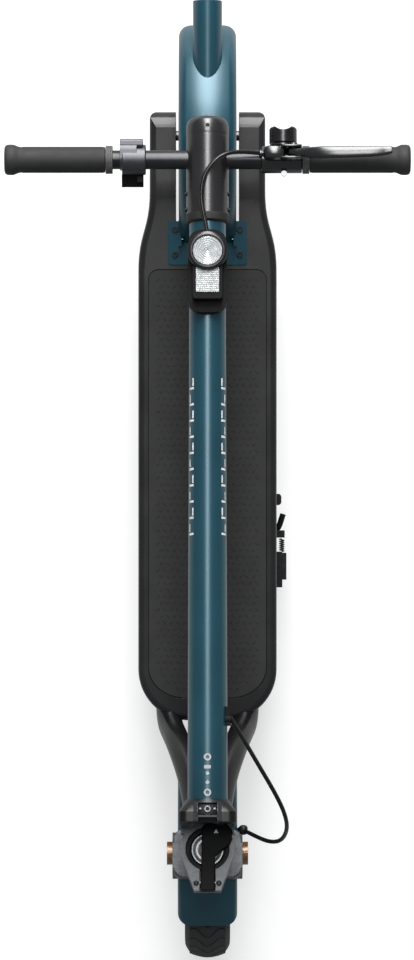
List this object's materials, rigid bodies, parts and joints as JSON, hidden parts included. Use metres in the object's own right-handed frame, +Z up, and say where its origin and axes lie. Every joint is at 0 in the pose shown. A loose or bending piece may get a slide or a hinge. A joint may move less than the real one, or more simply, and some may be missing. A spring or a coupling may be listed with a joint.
{
  "type": "electric kick scooter",
  "caption": "Folding electric kick scooter, folded flat with the stem over the deck, with air-tyre wheels, fenders, lights, bell, brake lever and kickstand.",
  "frame": {"origin": "on the ground under the middle of the folded scooter's box", "axes": "+X to the rider's left, -Y forward, +Z up"},
  "size_m": [0.478, 1.1565, 0.4502],
  "materials": {
    "deck_paint": "satin black powder coat",
    "deck_plate": "brushed",
    "mat_rubber": "matte embossed",
    "cover_plastic": "matte",
    "battery_wrap": "shrink wrap",
    "inner_aluminium": "cast",
    "inner_plastic": "matte",
    "soft_rubber": "matte",
    "steel": "brushed",
    "black_steel": "black oxide",
    "teal_paint": "metallic satin lacquer",
    "red_lens": "glossy",
    "hub_paint": "satin",
    "tyre": "matte",
    "cast_alloy": "textured grey powder coat on a casting",
    "amber_lens": "glossy",
    "cable_black": "satin",
    "lever_black": "satin black",
    "cast_black": "satin black on a casting",
    "sleeve_plastic": "fine grain",
    "display_glass": "glossy",
    "bar_paint": "satin black",
    "grip_rubber": "knurled",
    "clear_lens": "clear"
  },
  "bodies": {
    "frame": {"deck_body": "deck_paint", "deck_plate": "deck_plate", "deck_mat": "mat_rubber", "bottom_cover": "cover_plastic", "battery_pack": "battery_wrap", "controller": "inner_aluminium", "charge_port": "inner_plastic", "neck_tubes": "deck_paint", "head_tube": "deck_paint", "headset_bearings": "steel", "rear_fender": "teal_paint", "fender_screws": "black_steel", "tail_lens": "red_lens", "rear_axle": "steel", "motor_stator": "steel", "kickstand_bracket": "black_steel", "kickstand_spring": "steel"},
    "rear_wheel": {"rear_hub": "hub_paint", "rear_bearings": "steel", "rear_tyre": "tyre"},
    "kickstand": {"kickstand_leg": "black_steel"},
    "port_cap": {"charge_cap": "soft_rubber"},
    "fork": {"fork": "cast_alloy", "steerer": "steel", "folding_collar": "cast_alloy", "collar_pins": "steel", "front_fender": "teal_paint", "front_axle": "steel", "side_reflectors": "amber_lens", "brake_plate": "inner_aluminium", "brake_shoes": "soft_rubber", "brake_line": "cable_black"},
    "front_wheel": {"front_rim": "hub_paint", "front_bearings": "steel", "front_tyre": "tyre"},
    "fold_lever": {"fold_lever": "lever_black"},
    "stem": {"stem_tube": "teal_paint", "stem_foot": "cast_black", "latch_parts": "steel", "stem_fittings": "steel", "head_sleeve": "sleeve_plastic", "display": "display_glass", "handlebar": "bar_paint", "grip_left": "grip_rubber", "grip_right": "grip_rubber", "grip_rings": "sleeve_plastic", "throttle_housing": "sleeve_plastic", "brake_perch": "lever_black", "perch_hardware": "steel", "bell_base": "sleeve_plastic", "headlight_housing": "sleeve_plastic", "headlight_lens": "clear_lens", "front_reflector": "clear_lens", "upper_cable": "cable_black", "cable_clip": "sleeve_plastic", "lower_cable": "cable_black"},
    "throttle": {"throttle_lever": "sleeve_plastic"},
    "brake_lever": {"brake_lever": "lever_black"},
    "bell": {"bell_cap": "lever_black"},
    "power_button": {"power_button": "sleeve_plastic"}
  },
  "joints": [
    {"name": "steering", "type": "hinge", "parent": "frame", "child": "fork", "pos_m": [0, -0.43486, 0.31978], "axis": [0, 0.1736, 0.9848], "range_deg": [-45, 45]},
    {"name": "stem_fold", "type": "hinge", "parent": "fork", "child": "stem", "pos_m": [0, -0.3876, 0.3805], "axis": [1, 0, 0], "range_deg": [0, 86.8], "deforming": ["lower_cable"]},
    {"name": "front_wheel_spin", "type": "hinge", "parent": "fork", "child": "front_wheel", "pos_m": [0, -0.451, 0.127], "axis": [1, 0, 0], "continuous": true},
    {"name": "rear_wheel_spin", "type": "hinge", "parent": "frame", "child": "rear_wheel", "pos_m": [0, 0.4255, 0.127], "axis": [1, 0, 0], "continuous": true},
    {"name": "lever_fold", "type": "hinge", "parent": "fork", "child": "fold_lever", "pos_m": [0, -0.46411, 0.38079], "axis": [1, 0, 0], "range_deg": [0, 90]},
    {"name": "brake_squeeze", "type": "hinge", "parent": "stem", "child": "brake_lever", "pos_m": [0.101, 0.3847, 0.34984], "axis": [0, 0.993, -0.1184], "range_deg": [0, 8], "stiffness_Nm_per_rad": 2},
    {"name": "throttle_push", "type": "hinge", "parent": "stem", "child": "throttle", "pos_m": [-0.079, 0.38174, 0.32502], "axis": [-1, 0, 0], "range_deg": [0, 30], "stiffness_Nm_per_rad": 0.3},
    {"name": "bell_twist", "type": "hinge", "parent": "stem", "child": "bell", "pos_m": [0.089, 0.40309, 0.32247], "axis": [0, 0.993, -0.1184], "range_deg": [0, 35], "stiffness_Nm_per_rad": 0.05},
    {"name": "power_press", "type": "slide", "parent": "stem", "child": "power_button", "axis": [0, -0.1184, -0.993], "range_m": [0, 0.0005], "stiffness_N_per_m": 400},
    {"name": "kickstand_swing", "type": "hinge", "parent": "frame", "child": "kickstand", "pos_m": [0.079, -0.107, 0.0795], "axis": [-0.9659, 0, -0.2588], "range_deg": [0, 90], "deforming": ["kickstand_spring"]},
    {"name": "cap_flip", "type": "hinge", "parent": "frame", "child": "port_cap", "pos_m": [-0.0825, -0.175, 0.1163], "axis": [0, -1, 0], "range_deg": [0, 90]}
  ]
}
